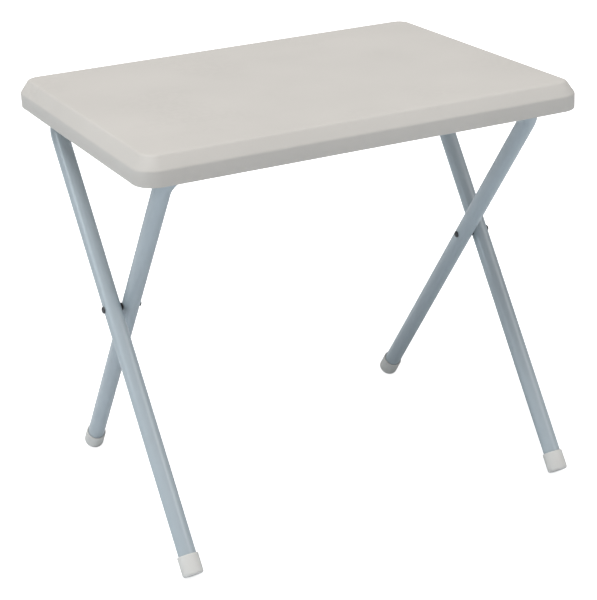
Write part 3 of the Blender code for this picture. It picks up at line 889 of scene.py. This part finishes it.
# %% Uneven tone
tone_group, source, sink = new_group(
    "Uneven tone",
    [
        ("Place", VECTOR, (0, 0, 0)),
        ("Colour", COLOUR, (0.6, 0.6, 0.6, 1)),
        ("Drift", FLOAT, 0.04),
        ("Size", FLOAT, 6.0),
    ],
    [("Colour", COLOUR), ("Cloud", FLOAT)],
)
cloud = noise(tone_group, source.outputs["Place"], source.outputs["Size"], 4.0)
lowest = calc(tone_group, "SUBTRACT", 1.0, source.outputs["Drift"])
highest = calc(tone_group, "ADD", 1.0, source.outputs["Drift"])
gain = remap(tone_group, cloud, 0.3, 0.7, lowest, highest, "LINEAR")
factors = {0: source.outputs["Colour"], "Scale": gain}
scaled = add(tone_group, "ShaderNodeVectorMath", factors, operation="SCALE")
put(tone_group, sink.inputs["Colour"], scaled.outputs[0])
put(tone_group, sink.inputs["Cloud"], cloud)
print(tone_group.name, len(tone_group.nodes))

# %% Handling
handling_group, source, sink = new_group(
    "Handling",
    [("Place", VECTOR, (0, 0, 0)), ("Size", FLOAT, 9.0), ("Amount", FLOAT, 0.5)],
    [("Mask", FLOAT)],
)
broad = noise(handling_group, source.outputs["Place"], source.outputs["Size"], 2.0)
patches = remap(handling_group, broad, 0.46, 0.66)
fine_size = calc(handling_group, "MULTIPLY", source.outputs["Size"], 14.0)
fine = noise(handling_group, source.outputs["Place"], fine_size, 5.0, 0.7)
broken = remap(handling_group, fine, 0.38, 0.62)
both = calc(handling_group, "MULTIPLY", patches, broken)
put(handling_group, sink.inputs["Mask"], calc(handling_group, "MULTIPLY", both, source.outputs["Amount"]))
print(handling_group.name, len(handling_group.nodes))

# %% Edge wear
wear_group, source, sink = new_group(
    "Edge wear",
    [("Place", VECTOR, (0, 0, 0)), ("Edge", FLOAT, 0.0), ("Size", FLOAT, 60.0), ("Amount", FLOAT, 0.5)],
    [("Mask", FLOAT)],
)
rubbed = noise(wear_group, source.outputs["Place"], source.outputs["Size"], 6.0, 0.65)
speckle = remap(wear_group, rubbed, 0.42, 0.62)
mask = calc(wear_group, "MULTIPLY", source.outputs["Edge"], speckle)
put(wear_group, sink.inputs["Mask"], calc(wear_group, "MULTIPLY", mask, source.outputs["Amount"]))
print(wear_group.name, len(wear_group.nodes))


# %% [markdown]
# ## One recipe for the painted and moulded surfaces
#
# Plastic and enamel differ in numbers more than in structure: a slowly drifting colour, a grain,
# some handling and some edge wear. So one function builds them all, and each material passes its
# own values. The grain bump is tens of micrometres deep and never more, because a deeper bump
# makes plastic look like plaster.

# %% The surface recipe
TONE_SIZE, TOUCH_SIZE, WEAR_SIZE = 6.0, 8.0, 70.0  # noise cycles per metre
SOIL_COLOUR, SOIL_SHARE = (0.30, 0.28, 0.25, 1.0), 0.12
CLOUD_ROUGHNESS = 0.10
TOUCH_POLISH = -0.10
WEAR_POLISH = -0.08
COAT_ROUGHNESS = 0.25


def surface_material(name, colour, roughness, drift, grain_size, grain_depth, worn_colour, worn, handled,
                     metallic=0.0, coat=0.0, streaks=None):
    """A Principled material; streaks = (scale along each axis, strength) brushes its roughness."""
    material = bpy.data.materials.new(name)
    material.use_nodes = True
    tree = material.node_tree
    shader = tree.nodes["Principled BSDF"]
    place = tree.nodes.new("ShaderNodeTexCoord").outputs["Object"]
    edge = add(tree, "ShaderNodeAttribute", attribute_name="edge").outputs["Fac"]

    def group(node_tree, **inputs):
        node = add(tree, "ShaderNodeGroup", node_tree=node_tree)
        for label, value in inputs.items():
            put(tree, node.inputs[label], value)
        return node.outputs

    tone = group(tone_group, Place=place, Colour=(*colour, 1.0), Drift=drift, Size=TONE_SIZE)
    touched = group(handling_group, Place=place, Size=TOUCH_SIZE, Amount=handled)["Mask"]
    wear = group(wear_group, Place=place, Edge=edge, Size=WEAR_SIZE, Amount=worn)["Mask"]
    grain = group(grain_group, Place=place, Size=grain_size, Depth=1.0)["Height"]

    soil = calc(tree, "MULTIPLY", touched, SOIL_SHARE)
    soiled = blend_colour(tree, soil, tone["Colour"], SOIL_COLOUR)
    put(tree, shader.inputs["Base Color"], blend_colour(tree, wear, soiled, (*worn_colour, 1.0)))
    lowest = roughness - CLOUD_ROUGHNESS / 2
    rough = calc(tree, "MULTIPLY_ADD", tone["Cloud"], CLOUD_ROUGHNESS, lowest)
    rough = calc(tree, "MULTIPLY_ADD", touched, TOUCH_POLISH, rough)
    if streaks:
        stretched = add(tree, "ShaderNodeVectorMath", {0: place, 1: streaks[0]}, operation="MULTIPLY")
        lines = noise(tree, stretched.outputs[0], 1.0, 2.0)
        rough = calc(tree, "MULTIPLY_ADD", calc(tree, "SUBTRACT", lines, 0.5), streaks[1], rough)
    put(tree, shader.inputs["Roughness"], calc(tree, "MULTIPLY_ADD", wear, WEAR_POLISH, rough))
    bump = add(tree, "ShaderNodeBump", {"Height": grain, "Distance": grain_depth, "Strength": 1.0})
    put(tree, shader.inputs["Normal"], bump.outputs["Normal"])
    shader.inputs["Metallic"].default_value = metallic
    shader.inputs["Coat Weight"].default_value = coat
    shader.inputs["Coat Roughness"].default_value = COAT_ROUGHNESS
    return material


def dress(pieces, material):
    """Gives every piece this one material."""
    for piece in pieces:
        piece.data.materials.clear()
        piece.data.materials.append(material)
    print(material.name, "on", len(pieces))


# %% The top's plastic
top_plastic = surface_material(
    "top_plastic", colour=(0.625, 0.598, 0.560), roughness=0.58, drift=0.025, grain_size=1500.0,
    grain_depth=0.012 * MM, worn_colour=(0.74, 0.72, 0.69), worn=0.35, handled=0.6,
)
dress([top_shell], top_plastic)

# %% Enamel on the tubes
tube_paint = surface_material(
    "tube_paint", colour=(0.44, 0.505, 0.545), roughness=0.36, drift=0.03, grain_size=420.0,
    grain_depth=0.006 * MM, worn_colour=(0.52, 0.56, 0.60), worn=0.3, handled=0.35, coat=0.6,
)
dress(tube_pieces.values(), tube_paint)

# %% Plastic of the caps and the fittings
cap_plastic = surface_material(
    "cap_plastic", colour=(0.72, 0.71, 0.68), roughness=0.48, drift=0.03, grain_size=1700.0,
    grain_depth=0.012 * MM, worn_colour=(0.62, 0.60, 0.57), worn=0.4, handled=0.8,
)
dress(cap_pieces, cap_plastic)
fixing_plastic = surface_material(
    "fixing_plastic", colour=(0.42, 0.42, 0.41), roughness=0.52, drift=0.03, grain_size=1500.0,
    grain_depth=0.015 * MM, worn_colour=(0.55, 0.55, 0.54), worn=0.4, handled=0.5,
)
dress(moulded_fittings, fixing_plastic)

# %% Steel and nylon
zinc_steel = surface_material(
    "zinc_steel", colour=(0.62, 0.62, 0.63), roughness=0.34, drift=0.06, grain_size=900.0,
    grain_depth=0.008 * MM, worn_colour=(0.72, 0.71, 0.70), worn=0.5, handled=0.6, metallic=1.0,
    streaks=((20.0, 900.0, 900.0), 0.25),
)
dress(strap_pieces + screw_pieces, zinc_steel)
rivet_steel = surface_material(
    "rivet_steel", colour=(0.045, 0.046, 0.05), roughness=0.38, drift=0.10, grain_size=800.0,
    grain_depth=0.015 * MM, worn_colour=(0.16, 0.16, 0.16), worn=0.8, handled=0.5, coat=0.2,
)
dress(rivet_pieces, rivet_steel)
washer_plastic = surface_material(
    "washer_plastic", colour=(0.02, 0.02, 0.022), roughness=0.45, drift=0.06, grain_size=1600.0,
    grain_depth=0.012 * MM, worn_colour=(0.06, 0.06, 0.06), worn=0.5, handled=0.3,
)
dress(spacer_pieces, washer_plastic)

# %% [markdown]
# ## Floor, light and camera
#
# The table stands on white paper under one large soft box, high and a little to the left, with a
# weak fill from each side and an even pale surround. Two tall narrow strip boxes draw a streak down
# the glossy tubes. A strip has to be about as long as the tube's reflection, or it leaves only a
# spot. The strips are hidden from diffuse rays, so they show in the gloss and light nothing. The
# floor adds a little light of its own for the camera only, so that it reads as white paper without
# lighting the table from below.

# %% The floor
FLOOR_HALF = 40.0
FLOOR_SEEN, FLOOR_GLOW = 0.90, 0.75
FLOOR_BOUNCE = (0.75, 0.79, 0.83)
FLOOR_ROUGHNESS = 0.9

floor_mesh = bpy.data.meshes.new("floor")
floor_corners = FLOOR_HALF * np.array([(-1, -1, 0), (1, -1, 0), (1, 1, 0), (-1, 1, 0)])
floor_mesh.from_pydata(floor_corners.tolist(), [], [(0, 1, 2, 3)])
floor = bpy.data.objects.new("floor", floor_mesh)
bpy.context.scene.collection.objects.link(floor)

paper = bpy.data.materials.new("paper")
paper.use_nodes = True
tree = paper.node_tree
shader = tree.nodes["Principled BSDF"]
seen = tree.nodes.new("ShaderNodeLightPath").outputs["Is Camera Ray"]
bounce, bright = (*FLOOR_BOUNCE, 1.0), (FLOOR_SEEN,) * 3 + (1.0,)
put(tree, shader.inputs["Base Color"], blend_colour(tree, seen, bounce, bright))
shader.inputs["Roughness"].default_value = FLOOR_ROUGHNESS
shader.inputs["Specular IOR Level"].default_value = 0.0
shader.inputs["Emission Color"].default_value = (1.0, 1.0, 1.0, 1.0)
put(tree, shader.inputs["Emission Strength"], calc(tree, "MULTIPLY", seen, FLOOR_GLOW))
floor_mesh.materials.append(paper)
print("floor:", len(floor_mesh.polygons), "face")

# %% Surround and lights
WORLD = 0.42
MIDDLE = Vector((0.0, 0.0, 0.35))
WHITE, COOL, SKY = (1.0, 1.0, 1.0), (0.85, 0.95, 1.0), (0.80, 0.93, 1.0)
# Direction, distance, width and height, watts, colour, and whether it shows in the gloss only
LIGHTS = {
    "key": ((-0.27, -0.11, 0.95), 9.0, (5.0, 5.0), 545.0, WHITE, False),
    "left fill": ((-0.97, 0.03, 0.25), 6.0, (0.9, 0.9), 25.0, SKY, False),
    "right fill": ((0.70, -0.45, 0.50), 6.0, (0.7, 0.7), 18.0, WHITE, False),
    "left strip": ((-0.86, -0.15, 0.48), 6.2, (0.5, 1.1), 38.0, COOL, True),
    "right strip": ((0.45, -0.66, 0.55), 6.0, (0.3, 0.8), 25.0, WHITE, True),
}


def add_light(name, towards, distance, size, watts, colour, gloss_only):
    """A soft box of width x height that faces the table from one direction."""
    data = bpy.data.lights.new(name, "AREA")
    data.shape = "RECTANGLE"
    data.size, data.size_y = size
    data.energy = watts
    data.color = colour
    light = bpy.data.objects.new(name, data)
    towards = Vector(towards).normalized()
    light.location = MIDDLE + towards * distance
    light.rotation_euler = towards.to_track_quat("Z", "Y").to_euler()
    light.visible_camera = False
    light.visible_diffuse = not gloss_only
    bpy.context.scene.collection.objects.link(light)


scene = bpy.context.scene
scene.view_settings.view_transform = "Standard"
scene.world = bpy.data.worlds.new("surround")
scene.world.use_nodes = True
tree = scene.world.node_tree
seen = tree.nodes.new("ShaderNodeLightPath").outputs["Is Camera Ray"]
even, white = (WORLD, WORLD, WORLD, 1.0), (1.0, 1.0, 1.0, 1.0)
put(tree, tree.nodes["Background"].inputs["Color"], blend_colour(tree, seen, even, white))
for name, values in LIGHTS.items():
    add_light(name, *values)
print("lights:", list(LIGHTS))

# %% The camera
AZIMUTH, ELEVATION, ROLL = math.radians(-25.95), math.radians(21.79), math.radians(-2.37)
DISTANCE = 2.2506
TARGET = Vector((0.0050, 0.0193, 0.2210))
LENS = 104.06
SENSOR = 36.0

camera_data = bpy.data.cameras.new("camera")
camera_data.lens = LENS
camera_data.sensor_width = SENSOR
camera = bpy.data.objects.new("camera", camera_data)
level = Vector((math.sin(AZIMUTH), -math.cos(AZIMUTH), 0.0))
back = level * math.cos(ELEVATION) + Vector((0.0, 0.0, math.sin(ELEVATION)))
right = Vector((0, 0, 1)).cross(back).normalized()
up = back.cross(right)
rolled_right = right * math.cos(ROLL) + up * math.sin(ROLL)
rolled_up = up * math.cos(ROLL) - right * math.sin(ROLL)
turn = Matrix((rolled_right, rolled_up, back)).transposed().to_4x4()
camera.matrix_world = Matrix.Translation(TARGET + back * DISTANCE) @ turn
scene.collection.objects.link(camera)
scene.camera = camera
print("camera at:", tuple(round(v, 3) for v in camera.location))
